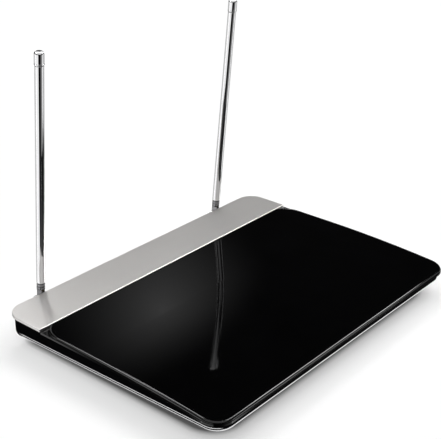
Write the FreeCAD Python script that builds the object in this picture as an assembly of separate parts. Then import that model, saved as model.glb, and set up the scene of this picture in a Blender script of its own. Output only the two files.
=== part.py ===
import FreeCAD, Part
import math
import os

# Indoor television aerial: a flat wedge-shaped body with a gloss panel, a silver rear plate and two
# telescopic rods on swivelling knuckles. Millimetres, +Z up, front at -Y, rods at the rear (+Y).

# Body outline, and the height of the rods' pivots that sets the body's own height
body_width = 240.0
body_depth = 172.9
pivot_height = 13.0
pivot_headroom = 6.4

# Silver rear plate
plate_depth = 33.5
plate_thickness = 1.8
plate_corner = 12.5
plate_edge = 0.45
plate_gap = 0.5

# Gloss top panel: level over its rear part, then one long arc down to the front edge. Its raised face
# stands on a thin flange, and the face's rear corners curve in under the line of the plate's front edge.
panel_step = 0.2
panel_thickness = 2.6
panel_level_length = 42.0
panel_front_drop = 4.45
panel_corner = 12.0
panel_flange = 1.2
panel_lip = 0.3
face_edge = 1.2
face_rear_corner = 17.0
face_rear_reach = 3.0
trim_allowance = 5.0
shelf_overlap = 8.0
shelf_depth = 18.0
shelf_thickness = 2.0
rim_depth = 2.0
rim_thickness = 1.6
rim_clearance = 0.2

# Bottom cover, set in under the panel and the plate
cover_side_inset = 3.2
cover_front_inset = 1.6
cover_rear_inset = 5.5
cover_rear_height = 5.5
cover_front_height = 9.0
cover_wall = 2.2
cover_rear_wall = 2.4
cover_floor = 2.0
cover_corner = 10.5
cover_rear_round = 4.0
cover_edge = 1.3
pad_rise = 0.8

# Rubber feet on moulded pedestals
foot_from_side = 35.5
foot_from_front = 27.0
foot_from_rear = 23.0
foot_diameter = 12.0
foot_exposed = 1.8
foot_sunk = 1.0
foot_edge = 0.6
foot_clearance = 0.1
pedestal_wall = 1.6

# Screws that hold the cover to the panel
screw_from_side = 14.5
screw_from_front = 21.0
screw_from_rear = 17.0
screw_diameter = 2.9
screw_length = 5.2
screw_head_diameter = 5.4
screw_head_height = 1.9
screw_sunk = 0.7
screw_clearance = 0.15
screw_boss_diameter = 9.0
screw_seat = 1.6
screw_pillar_diameter = 7.0
recess_width = 0.8
recess_span = 3.2
recess_depth = 1.0

# Knuckle: swivel axis along Y, tilt axis along X
rod_from_side = 34.2
pivot_behind_plate = 5.82
rod_lean = 5.5
swivel_pad_diameter = 12.0
bush_flange_diameter = 11.0
bush_flange = 1.2
bush_diameter = 8.0
bush_lip_diameter = 9.4
bush_lip = 0.8
swivel_clearance = 0.05
shaft_diameter = 6.0
shaft_shoulder_inset = 0.3
collar_diameter = 9.2
collar_length = 1.9
fork_width = 7.2
fork_radius = 3.6
fork_slot_bottom = 0.3
tongue_width = 2.7
tongue_half_height = 2.6
eye_radius = 3.4
pin_diameter = 2.4
thread_diameter = 4.0
thread_past_nut = 0.6
nut_across_flats = 7.0
nut_height = 2.8
spring_washer_diameter = 9.0
spring_washer_thickness = 0.8

# Telescopic rod, lengths measured along it from the tilt axis
rod_length = 167.0
ferrule_diameter = 5.4
ferrule_start = 7.2
ferrule_end = 13.3
ferrule_round = 0.8
groove_depth = 0.35
groove_width = 0.6
groove_from_end = (0.3, 2.5, 4.4)
spigot_length = 4.0
tube_diameter = 5.7
tube_wall = 0.35
tube_lip = 0.2
tube_lip_length = 0.8
tube_clearance = 0.05
tube_stagger = 1.0
flare_length = 5.0
cap_diameter = 6.2
cap_length = 8.2
cap_gap = 0.3
cap_round = 1.0
cap_socket = 5.0
cap_groove_height = 0.8
cap_groove_width = 0.5
cap_groove_depth = 0.3

# Coaxial socket in the middle of the rear wall
coax_height = 13.0
coax_thread_diameter = 9.525
coax_reach = 9.4
coax_relief = 0.6
coax_relief_depth = 0.5
coax_chamfer = 0.4
coax_bore = 6.6
coax_flange_diameter = 10.6
coax_flange = 2.2
coax_pad_diameter = 12.6
coax_hole_clearance = 0.1
coax_washer_diameter = 12.4
coax_washer_thickness = 0.5
coax_nut_across_flats = 11.0
coax_nut_height = 2.0
coax_insulator_recess = 0.9
coax_contact_diameter = 1.2
coax_contact_bore = 0.8
coax_contact_bore_depth = 6.0
coax_contact_recess = 3.0
coax_contact_tail = 14.0

# Matching board with its balun, and the flat dipole under the panel
board_width = 52.0
board_depth = 35.5
board_thickness = 1.6
board_from_wall = 9.0
board_screw_inset = 5.0
board_boss_diameter = 5.5
board_screw_diameter = 2.2
board_screw_length = 4.5
board_screw_head_diameter = 4.0
board_screw_head_height = 1.4
core_width = 13.0
core_depth = 8.0
core_height = 4.4
core_hole_diameter = 2.6
core_hole_spacing = 6.0
core_from_board_rear = 15.6
wing_thickness = 0.4
wing_from_board = 16.1
wing_inner_x = 5.0
wing_from_side = 21.5
wing_inner_half = 5.0
wing_outer_half = 18.0
wing_leg_width = 4.0
wing_leg_from_board_edge = 4.5

# Solder tags and feed leads
tag_diameter = 10.8
tag_thickness = 0.5
tag_length = 10.5
tag_tab_width = 3.0
tag_clearance = 0.05
lead_diameter = 1.4
lead_clearance = 0.05
lead_start_from_axis = 8.6
lead_knees = ((24.6, 3.2, 0.1), (42.6, 11.1, -0.4))
lead_end_from_board_side = 5.0
lead_end_from_board_rear = 13.6
lead_bend_share = 0.45

# Places worked out from the sizes above
V = FreeCAD.Vector
x_axis = V(1, 0, 0)
y_axis = V(0, 1, 0)
z_axis = V(0, 0, 1)
plate_rear = body_depth / 2
plate_front = plate_rear - plate_depth
plate_bottom = pivot_height + pivot_headroom
plate_top = plate_bottom + plate_thickness
panel_top = plate_top - panel_step
panel_rear = plate_front - plate_gap
panel_front = -body_depth / 2
panel_level_end = panel_rear - panel_level_length
panel_arc_run = panel_level_end - panel_front
panel_arc_radius = (panel_arc_run ** 2 + panel_front_drop ** 2) / (2 * panel_front_drop)
cover_half = body_width / 2 - cover_side_inset
cover_front = panel_front + cover_front_inset
cover_rear = plate_rear - cover_rear_inset
cover_slope = (cover_front_height - cover_rear_height) / (cover_rear - cover_front)
wall_inner = cover_rear - cover_rear_wall
pad_face = cover_rear + pad_rise
pivot_y = plate_rear + pivot_behind_plate
rod_x = body_width / 2 - rod_from_side
foot_x = cover_half - foot_from_side
foot_front_y = cover_front + foot_from_front
foot_rear_y = cover_rear - foot_from_rear
screw_x = cover_half - screw_from_side
screw_front_y = cover_front + screw_from_front
screw_rear_y = cover_rear - screw_from_rear
screw_y = (screw_rear_y, (screw_front_y + screw_rear_y) / 2, screw_front_y)
tube_start = ferrule_end
tube_end = rod_length - cap_length - cap_gap
coax_end = pad_face + coax_reach
board_rear = wall_inner - board_from_wall
board_front = board_rear - board_depth
board_top = coax_height - coax_contact_diameter / 2
board_bottom = board_top - board_thickness
core_y = board_rear - core_from_board_rear
wing_y = board_front - wing_from_board
wing_outer_x = cover_half - wing_from_side
lead_end_x = board_width / 2 - lead_end_from_board_side
lead_end_y = board_rear - lead_end_from_board_rear
beyond_top = 2 * plate_top
beyond_rear = 2 * plate_rear
sides = (("left", -1), ("right", 1))


def face_height(y):
    """Height of the panel's face at depth y: level, then a circular arc tangent to it."""
    run = max(panel_level_end - y, 0.0)
    return panel_top - panel_arc_radius + math.sqrt(panel_arc_radius ** 2 - run ** 2)


def underside_height(y):
    """Height of the cover's sloping underside at depth y."""
    return cover_rear_height + (cover_rear - y) * cover_slope


def face_edges(rear, front, drop):
    """The panel's side profile from rear to front, lowered by drop: a line and an arc."""
    middle = (panel_level_end + front) / 2
    points = [V(0, y, face_height(y) - drop) for y in (rear, panel_level_end, middle, front)]
    return [Part.makeLine(points[0], points[1]), Part.Arc(*points[1:]).toShape()]


def polyline(points):
    """Straight edges through the points."""
    return [Part.makeLine(a, b) for a, b in zip(points, points[1:])]


def extruded(edges, half_width):
    """Solid of a closed profile in the YZ plane, extruded evenly to both sides along X."""
    face = Part.Face(Part.Wire(Part.__sortEdges__(edges)))
    face.translate(V(-half_width, 0, 0))
    return face.extrude(V(2 * half_width, 0, 0))


def block(half_width, front, rear, bottom, top):
    """Box that is even about the YZ plane."""
    return Part.makeBox(2 * half_width, rear - front, top - bottom, V(-half_width, front, bottom))


def upright_edges(shape, y):
    """Vertical edges of a shape at depth y."""
    return [
        edge
        for edge in shape.Edges
        if abs(edge.tangentAt(edge.FirstParameter).z) > 0.999
        and all(abs(vertex.Y - y) < 1e-4 for vertex in edge.Vertexes)
    ]


def rounded_block(half_width, front, rear, bottom, top, front_round, rear_round):
    """Box with its upright edges rounded, by one radius in front and one behind."""
    solid = block(half_width, front, rear, bottom, top)
    solid = solid.makeFillet(front_round, upright_edges(solid, front))
    return solid.makeFillet(rear_round, upright_edges(solid, rear))


def cylinder(diameter, length, base, axis):
    """Cylinder from a point on its axis."""
    return Part.makeCylinder(diameter / 2, length, base, axis)


def along_y(diameter, start, end, x, z):
    """Cylinder parallel to Y between two depths."""
    return cylinder(diameter, end - start, V(x, start, z), y_axis)


def along_z(diameter, bottom, top, x, y):
    """Cylinder parallel to Z between two heights."""
    return cylinder(diameter, top - bottom, V(x, y, bottom), z_axis)


def hexagon(across_flats, start, end, x, z):
    """Hexagonal prism parallel to Y, with two flats level."""
    radius = across_flats / math.sqrt(3)
    turns = [math.radians(60 * k) for k in range(7)]
    wire = Part.makePolygon([V(x + radius * math.cos(a), start, z + radius * math.sin(a)) for a in turns])
    return Part.Face(wire).extrude(V(0, end - start, 0))


def turned(points):
    """Solid of revolution about Z of a closed (radius, height) outline."""
    wire = Part.makePolygon([V(r, 0, h) for r, h in points + points[:1]])
    return Part.Face(wire).revolve(V(0, 0, 0), z_axis, 360)


def rounded_face_boundary(shape):
    """Outer edges of the panel's face, without the seam where its level part meets the arc."""
    found = []
    for edge in shape.Edges:
        middle = edge.valueAt((edge.FirstParameter + edge.LastParameter) / 2)
        ends = [vertex.Point for vertex in edge.Vertexes]
        on_face = all(abs(p.z - face_height(p.y)) < 1e-3 for p in ends + [middle])
        seam = abs(middle.x) < 1e-3 and abs(middle.y - panel_level_end) < 1e-3
        if on_face and not seam:
            found.append(edge)
    return found


def curved_slab(upper, lower):
    """Oversize slab between two copies of the panel's side profile, lowered by two amounts."""
    rear = panel_rear + trim_allowance
    front = panel_front - trim_allowance
    edges = face_edges(rear, front, upper) + face_edges(rear, front, lower)
    for y in (rear, front):
        edges.append(Part.makeLine(V(0, y, face_height(y) - upper), V(0, y, face_height(y) - lower)))
    return extruded(edges, body_width / 2 + trim_allowance)


def raised_face():
    """Upper part of the panel: rounded outline and edge, cut straight along the plate's front edge."""
    half = body_width / 2 - panel_lip
    front = panel_front + panel_lip
    outline = rounded_block(
        half, front, panel_rear + face_rear_reach, 0, beyond_top, panel_corner - panel_lip, face_rear_corner
    )
    face = curved_slab(0, panel_thickness - panel_flange / 2).common(outline)
    face = face.makeFillet(face_edge, rounded_face_boundary(face))
    return face.common(block(body_width / 2, panel_front, panel_rear, 0, beyond_top))


def top_panel():
    """Curved gloss panel: flange and raised face, a sunk shelf for the plate, a locating rim, pillars."""
    outline = block(body_width / 2, panel_front, panel_rear, 0, beyond_top)
    outline = outline.makeFillet(panel_corner, upright_edges(outline, panel_front))
    flange = curved_slab(panel_thickness - panel_flange, panel_thickness).common(outline)
    rim_half = cover_half - cover_wall - rim_clearance
    rim_front = cover_front + cover_wall + rim_clearance
    rim_corner = cover_corner - cover_wall - rim_clearance
    rim_edges = face_edges(panel_rear, rim_front, panel_thickness)
    rim_edges += face_edges(panel_rear, rim_front, panel_thickness + rim_depth)
    rim_drop = V(0, 0, -rim_depth)
    for y in (panel_rear, rim_front):
        start = V(0, y, face_height(y) - panel_thickness)
        rim_edges.append(Part.makeLine(start, start + rim_drop))
    rim = extruded(rim_edges, rim_half)
    rim = rim.makeFillet(rim_corner, upright_edges(rim, rim_front))
    hollow = block(
        rim_half - rim_thickness, rim_front + rim_thickness, plate_rear, 0, beyond_top
    )
    hollow = hollow.makeFillet(rim_corner - rim_thickness, upright_edges(hollow, rim_front + rim_thickness))
    shelf = block(
        rim_half,
        panel_rear - shelf_overlap,
        panel_rear + shelf_depth,
        plate_bottom - shelf_thickness,
        plate_bottom,
    )
    panel = flange.fuse([raised_face(), rim.cut(hollow), shelf])
    for x, y in screw_places():
        ceiling = plate_bottom - shelf_thickness if y > panel_rear else face_height(y) - panel_thickness
        pillar = along_z(screw_pillar_diameter, screw_joint_height(y), ceiling + rim_clearance, x, y)
        panel = panel.fuse(pillar)
    for x, y in screw_places():
        seat = screw_seat_height(y)
        panel = panel.cut(along_z(screw_diameter, seat, seat + screw_length, x, y))
    return panel.removeSplitter()


def rear_plate():
    """Flat silver plate with rounded rear corners and softly broken edges."""
    plate = block(body_width / 2, plate_front, plate_rear, plate_bottom, plate_top)
    plate = plate.makeFillet(plate_corner, upright_edges(plate, plate_rear))
    upper = [e for e in plate.Edges if all(abs(v.Z - plate_top) < 1e-4 for v in e.Vertexes)]
    return plate.makeFillet(plate_edge, upper)


def screw_places():
    """Plan positions of the screws that hold the cover."""
    return [(sign * screw_x, y) for y in screw_y for _, sign in sides]


def screw_seat_height(y):
    """Height at which a cover screw's head seats."""
    return underside_height(y) + screw_sunk + screw_head_height


def screw_joint_height(y):
    """Height at which the cover's boss meets the panel's pillar."""
    return screw_seat_height(y) + screw_seat


def foot_places():
    """Names and plan positions of the four feet."""
    rows = (("front", foot_front_y), ("rear", foot_rear_y))
    return [(row, side, sign * foot_x, y) for row, y in rows for side, sign in sides]


def cover_body():
    """Outer wedge of the cover: rounded front corners, a rounded rear foot and a soft lower edge."""
    step = (plate_front + panel_rear) / 2
    upper = face_edges(step, cover_front, panel_thickness)
    front_top = V(0, cover_front, face_height(cover_front) - panel_thickness)
    rest = [
        front_top,
        V(0, cover_front, cover_front_height),
        V(0, cover_rear, cover_rear_height),
        V(0, cover_rear, plate_bottom),
        V(0, step, plate_bottom),
        V(0, step, panel_top - panel_thickness),
    ]
    solid = extruded(upper + polyline(rest), cover_half)
    heel = [
        e
        for e in solid.Edges
        if all(abs(v.Y - cover_rear) < 1e-4 and abs(v.Z - cover_rear_height) < 1e-4 for v in e.Vertexes)
    ]
    solid = solid.makeFillet(cover_rear_round, heel)
    solid = solid.makeFillet(cover_corner, upright_edges(solid, cover_front))
    return solid.makeFillet(cover_edge, lower_loop(solid))


def lower_loop(solid):
    """Edges round the cover's lower rim: front, corners, sides, heel and rear uprights."""
    found = []
    for edge in solid.Edges:
        middle = edge.valueAt((edge.FirstParameter + edge.LastParameter) / 2)
        at_side = abs(abs(middle.x) - cover_half) < 1e-3
        at_bottom = abs(middle.z - underside_height(middle.y)) < 1e-3
        at_heel = middle.y > cover_rear - cover_rear_round and middle.z < plate_bottom - 1e-3
        across = abs(middle.x) < 1e-3 and middle.y > 0
        if (at_bottom and not across) or (at_heel and at_side):
            found.append(edge)
    return found


def bottom_cover():
    """Moulded tray: thin walls, screw bosses, board bosses, pedestals for the feet and rear pads."""
    inner_front = cover_front + cover_wall
    inner_profile = [
        V(0, inner_front, underside_height(inner_front) + cover_floor),
        V(0, wall_inner, underside_height(wall_inner) + cover_floor),
        V(0, wall_inner, beyond_top),
        V(0, inner_front, beyond_top),
    ]
    cavity = extruded(polyline(inner_profile + inner_profile[:1]), cover_half - cover_wall)
    cavity = cavity.makeFillet(cover_corner - cover_wall, upright_edges(cavity, inner_front))
    cover = cover_body().cut(cavity)
    added = []
    removed = []
    for x, y in screw_places():
        root = underside_height(y) + cover_floor / 2
        seat = screw_seat_height(y)
        added.append(along_z(screw_boss_diameter, root, screw_joint_height(y), x, y))
        head_bore = screw_head_diameter + 2 * screw_clearance
        removed.append(along_z(head_bore, 0, seat, x, y))
        removed.append(along_z(screw_diameter + 2 * screw_clearance, seat, plate_top, x, y))
    for x, y in board_screw_places():
        root = underside_height(y) + cover_floor / 2
        added.append(along_z(board_boss_diameter, root, board_bottom, x, y))
        removed.append(along_z(board_screw_diameter, board_top - board_screw_length, board_top, x, y))
    for _, _, x, y in foot_places():
        recess = foot_diameter + 2 * foot_clearance
        pedestal = recess + 2 * pedestal_wall
        added.append(along_z(pedestal, foot_exposed, underside_height(y) + cover_floor / 2, x, y))
        removed.append(along_z(recess, 0, foot_exposed + foot_sunk, x, y))
    for _, sign in sides:
        added.append(along_y(swivel_pad_diameter, wall_inner, pad_face, sign * rod_x, pivot_height))
        removed.append(along_y(bush_diameter, 0, beyond_rear, sign * rod_x, pivot_height))
    added.append(along_y(coax_pad_diameter, wall_inner, pad_face, 0, coax_height))
    coax_hole = coax_thread_diameter + 2 * coax_hole_clearance
    removed.append(along_y(coax_hole, board_rear, beyond_rear, 0, coax_height))
    return cover.fuse(added).cut(removed).removeSplitter()


def cross_recess(x, y, mouth):
    """Cross-shaped driver recess, cut up into a screw head from its face at height mouth."""
    bars = []
    for dx, dy in ((recess_span, recess_width), (recess_width, recess_span)):
        bars.append(Part.makeBox(dx, dy, recess_depth, V(x - dx / 2, y - dy / 2, mouth)))
    return bars[0].fuse(bars[1])


def cover_screws():
    """Pan-head screws driven up from below through the cover into the panel's pillars."""
    screws = []
    for x, y in screw_places():
        seat = screw_seat_height(y)
        head = along_z(screw_head_diameter, seat - screw_head_height, seat, x, y)
        screw = head.fuse(along_z(screw_diameter, seat, seat + screw_length, x, y))
        screws.append(screw.cut(cross_recess(x, y, seat - screw_head_height)))
    return Part.makeCompound(screws)


def foot_pad(x, y):
    """Round rubber pad with a broken lower edge."""
    pad = along_z(foot_diameter, 0, foot_exposed + foot_sunk, x, y)
    lower = [e for e in pad.Edges if all(abs(v.Z) < 1e-4 for v in e.Vertexes)]
    return pad.makeFillet(foot_edge, lower)


def board_screw_places():
    """Plan positions of the board's four screws."""
    across = board_width / 2 - board_screw_inset
    rows = (board_front + board_screw_inset, board_rear - board_screw_inset)
    return [(sign * across, y) for y in rows for _, sign in sides]


def matching_board():
    """Plain circuit board with four screw holes."""
    board = block(board_width / 2, board_front, board_rear, board_bottom, board_top)
    for x, y in board_screw_places():
        board = board.cut(along_z(board_screw_diameter, board_bottom, board_top, x, y))
    return board


def board_screws():
    """Small screws that hold the board on its bosses."""
    screws = []
    for x, y in board_screw_places():
        shank = along_z(board_screw_diameter, board_top - board_screw_length, board_top, x, y)
        head = along_z(board_screw_head_diameter, board_top, board_top + board_screw_head_height, x, y)
        screws.append(shank.fuse(head))
    return Part.makeCompound(screws)


def balun_core():
    """Two-hole ferrite core that lies on the board."""
    core = block(
        core_width / 2, core_y - core_depth / 2, core_y + core_depth / 2, board_top, board_top + core_height
    )
    for _, sign in sides:
        x = sign * core_hole_spacing / 2
        hole = along_y(core_hole_diameter, 0, plate_rear, x, board_top + core_height / 2)
        core = core.cut(hole)
    return core


def uhf_wing(sign):
    """Flat tapered half of the dipole under the panel, with an arm and a leg down to the board."""
    ceiling = face_height(wing_y - wing_outer_half) - panel_thickness
    leg_rear = board_front + wing_leg_from_board_edge
    arm_end = wing_inner_x + wing_leg_width
    outline = [
        (wing_inner_x, wing_y - wing_inner_half),
        (wing_outer_x, wing_y - wing_outer_half),
        (wing_outer_x, wing_y + wing_outer_half),
        (arm_end, wing_y + wing_inner_half),
        (arm_end, leg_rear),
        (wing_inner_x, leg_rear),
    ]
    points = [V(sign * x, y, ceiling - wing_thickness) for x, y in outline]
    sheet = Part.Face(Part.makePolygon(points + points[:1])).extrude(V(0, 0, wing_thickness))
    leg = Part.makeBox(
        wing_leg_width,
        wing_thickness,
        ceiling - board_top,
        V(min(sign * wing_inner_x, sign * arm_end), leg_rear - wing_thickness, board_top),
    )
    return sheet.fuse(leg).removeSplitter()


def coax_socket():
    """Threaded socket body: inner flange against the wall, a relief beyond the nut, a chamfered end."""
    start = wall_inner - coax_flange
    relief_start = pad_face + coax_washer_thickness + coax_nut_height
    body = along_y(coax_thread_diameter, start, coax_end, 0, coax_height)
    mouth = [e for e in body.Edges if all(abs(v.Y - coax_end) < 1e-4 for v in e.Vertexes)]
    body = body.makeChamfer(coax_chamfer, mouth)
    flange = along_y(coax_flange_diameter, start, wall_inner, 0, coax_height)
    band = along_y(2 * coax_thread_diameter, relief_start, relief_start + coax_relief, 0, coax_height)
    neck = coax_thread_diameter - 2 * coax_relief_depth
    relief = band.cut(along_y(neck, relief_start, relief_start + coax_relief, 0, coax_height))
    bore = along_y(coax_bore, start, coax_end, 0, coax_height)
    return body.fuse(flange).cut([relief, bore]).removeSplitter()


def coax_insulator():
    """White insulator that fills the socket's bore round the contact."""
    start = wall_inner - coax_flange
    end = coax_end - coax_insulator_recess
    plug = along_y(coax_bore, start, end, 0, coax_height)
    return plug.cut(along_y(coax_contact_diameter, start, end, 0, coax_height))


def coax_contact():
    """Centre contact: a drilled pin that runs back onto the board."""
    start = wall_inner - coax_contact_tail
    end = coax_end - coax_contact_recess
    pin = along_y(coax_contact_diameter, start, end, 0, coax_height)
    return pin.cut(along_y(coax_contact_bore, end - coax_contact_bore_depth, end, 0, coax_height))


def coax_washer():
    """Flat washer under the socket's nut."""
    end = pad_face + coax_washer_thickness
    ring = along_y(coax_washer_diameter, pad_face, end, 0, coax_height)
    return ring.cut(along_y(coax_thread_diameter, pad_face, end, 0, coax_height))


def coax_nut():
    """Hexagonal nut that clamps the socket in the wall."""
    start = pad_face + coax_washer_thickness
    end = start + coax_nut_height
    nut = hexagon(coax_nut_across_flats, start, end, 0, coax_height)
    return nut.cut(along_y(coax_thread_diameter, start, end, 0, coax_height))


def swivel_bush(x):
    """Riveted bush in the rear wall: outer flange, sleeve and a rolled lip over the solder tag."""
    lip_start = wall_inner - tag_thickness - bush_lip
    bush = along_y(bush_diameter, lip_start, pad_face, x, pivot_height)
    flange = along_y(bush_flange_diameter, pad_face, pad_face + bush_flange, x, pivot_height)
    lip = along_y(bush_lip_diameter, lip_start, lip_start + bush_lip, x, pivot_height)
    bore = along_y(
        shaft_diameter + 2 * swivel_clearance, lip_start, pad_face + bush_flange, x, pivot_height
    )
    return bush.fuse([flange, lip]).cut(bore).removeSplitter()


def solder_tag(sign):
    """Ring tag round the bush with a tab that points to the board."""
    x = sign * rod_x
    start = wall_inner - tag_thickness
    ring = along_y(tag_diameter, start, wall_inner, x, pivot_height)
    inner_x = x - sign * tag_length
    tab_corner = V(min(x, inner_x), start, pivot_height - tag_tab_width / 2)
    tab = Part.makeBox(tag_length, tag_thickness, tag_tab_width, tab_corner)
    hole = along_y(bush_diameter + 2 * tag_clearance, start, wall_inner, x, pivot_height)
    return ring.fuse(tab).cut(hole).removeSplitter()


def feed_lead(sign):
    """Insulated wire from the solder tag to the board: straight runs joined by tangent arcs."""
    radius = lead_diameter / 2
    start = V(
        rod_x - lead_start_from_axis, wall_inner - tag_thickness - radius - lead_clearance, pivot_height
    )
    end = V(lead_end_x, lead_end_y, board_top + radius + lead_clearance)
    knees = [V(rod_x - along, wall_inner - off, pivot_height - drop) for along, off, drop in lead_knees]
    route = [start] + knees + [end]
    points = [V(sign * p.x, p.y, p.z) for p in route]
    edges = []
    last = points[0]
    for before, corner, after in zip(points, points[1:], points[2:]):
        into = (corner - before).normalize()
        out = (after - corner).normalize()
        reach = lead_bend_share * min((corner - before).Length, (after - corner).Length)
        arc_start = corner - into * reach
        arc_end = corner + out * reach
        half_turn = into.getAngle(out) / 2
        arc_radius = reach / math.tan(half_turn)
        inward = (out - into).normalize()
        arc_middle = corner + inward * (arc_radius / math.cos(half_turn) - arc_radius)
        edges.append(Part.makeLine(last, arc_start))
        edges.append(Part.Arc(arc_start, arc_middle, arc_end).toShape())
        last = arc_end
    edges.append(Part.makeLine(last, points[-1]))
    profile = Part.Wire(Part.makeCircle(radius, points[0], points[1] - points[0]))
    return Part.Wire(edges).makePipeShell([profile], True, False)


def swivel_barrel(x):
    """Turned barrel: shaft through the bush, collar, threaded end and a fork for the rod."""
    collar_start = pad_face + bush_flange + swivel_clearance
    collar_end = collar_start + collar_length
    shoulder = wall_inner - tag_thickness - bush_lip + shaft_shoulder_inset
    collar = along_y(collar_diameter, collar_start, collar_end, x, pivot_height)
    shaft = along_y(shaft_diameter, shoulder, collar_start, x, pivot_height)
    thread = along_y(thread_diameter, nut_start() - thread_past_nut, shoulder, x, pivot_height)
    arm = Part.makeBox(
        fork_width,
        pivot_y - collar_end,
        2 * fork_radius,
        V(x - fork_width / 2, collar_end, pivot_height - fork_radius),
    )
    eye = cylinder(2 * fork_radius, fork_width, V(x - fork_width / 2, pivot_y, pivot_height), x_axis)
    round_bar = along_y(collar_diameter, collar_end, pivot_y + fork_radius, x, pivot_height)
    fork = arm.fuse(eye).common(round_bar)
    slot_width = tongue_width + 2 * swivel_clearance
    slot_start = pivot_y - eye_radius - fork_slot_bottom
    slot = Part.makeBox(
        slot_width,
        2 * collar_diameter,
        2 * collar_diameter,
        V(x - slot_width / 2, slot_start, pivot_height - collar_diameter),
    )
    pin_hole = cylinder(pin_diameter, fork_width, V(x - fork_width / 2, pivot_y, pivot_height), x_axis)
    return collar.fuse([shaft, thread, fork]).cut([slot, pin_hole]).removeSplitter()


def washer_end():
    """Depth of the spring washer's face that bears on the bush."""
    return wall_inner - tag_thickness - bush_lip - swivel_clearance


def nut_start():
    """Depth of the swivel nut's inner face."""
    return washer_end() - spring_washer_thickness - nut_height


def spring_washer(x):
    """Washer that presses on the bush and gives the swivel its friction."""
    start = washer_end() - spring_washer_thickness
    ring = along_y(spring_washer_diameter, start, washer_end(), x, pivot_height)
    return ring.cut(along_y(thread_diameter, start, washer_end(), x, pivot_height))


def swivel_nut(x):
    """Nut on the barrel's threaded end."""
    nut = hexagon(nut_across_flats, nut_start(), nut_start() + nut_height, x, pivot_height)
    return nut.cut(along_y(thread_diameter, nut_start(), nut_start() + nut_height, x, pivot_height))


def hinge_pin(x):
    """Pin pressed into the fork, on which the rod tilts."""
    return cylinder(pin_diameter, fork_width, V(x - fork_width / 2, pivot_y, pivot_height), x_axis)


def rod_foot():
    """Ferrule with turned grooves, a flat tongue with an eye below and a spigot for the tube above."""
    radius = ferrule_diameter / 2
    spigot = tube_bore(0) / 2
    neck = radius - groove_depth
    outline = [(0, ferrule_start), (radius - ferrule_round, ferrule_start)]
    outline.append((radius, ferrule_start + ferrule_round))
    for from_end in sorted(groove_from_end, reverse=True):
        top = ferrule_end - from_end
        bottom = top - groove_width
        outline += [(radius, bottom), (neck, bottom), (neck, top), (radius, top)]
    outline += [(radius, ferrule_end), (spigot, ferrule_end)]
    outline += [(spigot, ferrule_end + spigot_length), (0, ferrule_end + spigot_length)]
    left = V(-tongue_width / 2, 0, 0)
    eye = cylinder(2 * eye_radius, tongue_width, left, x_axis)
    bar = Part.makeBox(
        tongue_width,
        2 * tongue_half_height,
        ferrule_start + ferrule_round,
        V(-tongue_width / 2, -tongue_half_height, 0),
    )
    ferrule_bar = along_z(ferrule_diameter, -eye_radius, ferrule_end, 0, 0)
    tongue = bar.common(ferrule_bar).fuse(eye)
    hole = cylinder(pin_diameter + 2 * swivel_clearance, tongue_width, left, x_axis)
    return turned(outline).fuse(tongue).cut(hole).removeSplitter()


def tube_outer(stage):
    """Outer diameter of a telescopic stage, each one running in the lip of the stage before."""
    if stage == 0:
        return tube_diameter
    return tube_bore(stage - 1) - 2 * tube_lip - 2 * tube_clearance


def tube_bore(stage):
    """Bore of a telescopic stage."""
    return tube_outer(stage) - 2 * tube_wall


def tube(stage):
    """One stage: thin tube with a rolled-in lip above and, inside another stage, a flared foot below."""
    outer = tube_outer(stage) / 2
    bore = tube_bore(stage) / 2
    lip = bore - tube_lip
    start = tube_start if stage == 0 else stage_start(stage)
    outline = [(bore, start)]
    if stage == 0:
        outline += [(outer, start)]
    else:
        flare = tube_bore(stage - 1) / 2 - tube_clearance
        outline += [(flare, start), (flare, start + flare_length), (outer, start + flare_length)]
    lip_start = tube_end - tube_lip_length
    outline += [(outer, tube_end), (lip, tube_end), (lip, lip_start), (bore, lip_start)]
    return turned(outline)


def stage_start(stage):
    """Height of a nested stage's foot above the tilt axis."""
    return tube_start + spigot_length + stage * tube_stagger


def tip_rod():
    """Innermost solid stage with its flared foot, pressed into the cap."""
    radius = tube_outer(3) / 2
    flare = tube_bore(2) / 2 - tube_clearance
    start = stage_start(3)
    top = tube_end + cap_gap + cap_socket
    outline = [(0, start), (flare, start), (flare, start + flare_length)]
    outline += [(radius, start + flare_length), (radius, top), (0, top)]
    return turned(outline)


def tip_cap():
    """Turned cap with a groove near its lower edge and a rounded top."""
    radius = cap_diameter / 2
    bottom = tube_end + cap_gap
    cap = along_z(cap_diameter, bottom, rod_length, 0, 0)
    upper = [e for e in cap.Edges if all(abs(v.Z - rod_length) < 1e-4 for v in e.Vertexes)]
    cap = cap.makeFillet(cap_round, upper)
    groove_bottom = bottom + cap_groove_height
    ring = along_z(2 * cap_diameter, groove_bottom, groove_bottom + cap_groove_width, 0, 0)
    core = along_z(2 * (radius - cap_groove_depth), groove_bottom, groove_bottom + cap_groove_width, 0, 0)
    socket = along_z(tube_outer(3), bottom, bottom + cap_socket, 0, 0)
    return cap.cut([ring.cut(core), socket])


def on_rod(shape, x):
    """Stand a rod piece on its tilt axis, leaning forward."""
    placed = shape.copy()
    placed.rotate(V(0, 0, 0), x_axis, rod_lean)
    placed.translate(V(x, pivot_y, pivot_height))
    return placed


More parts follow.
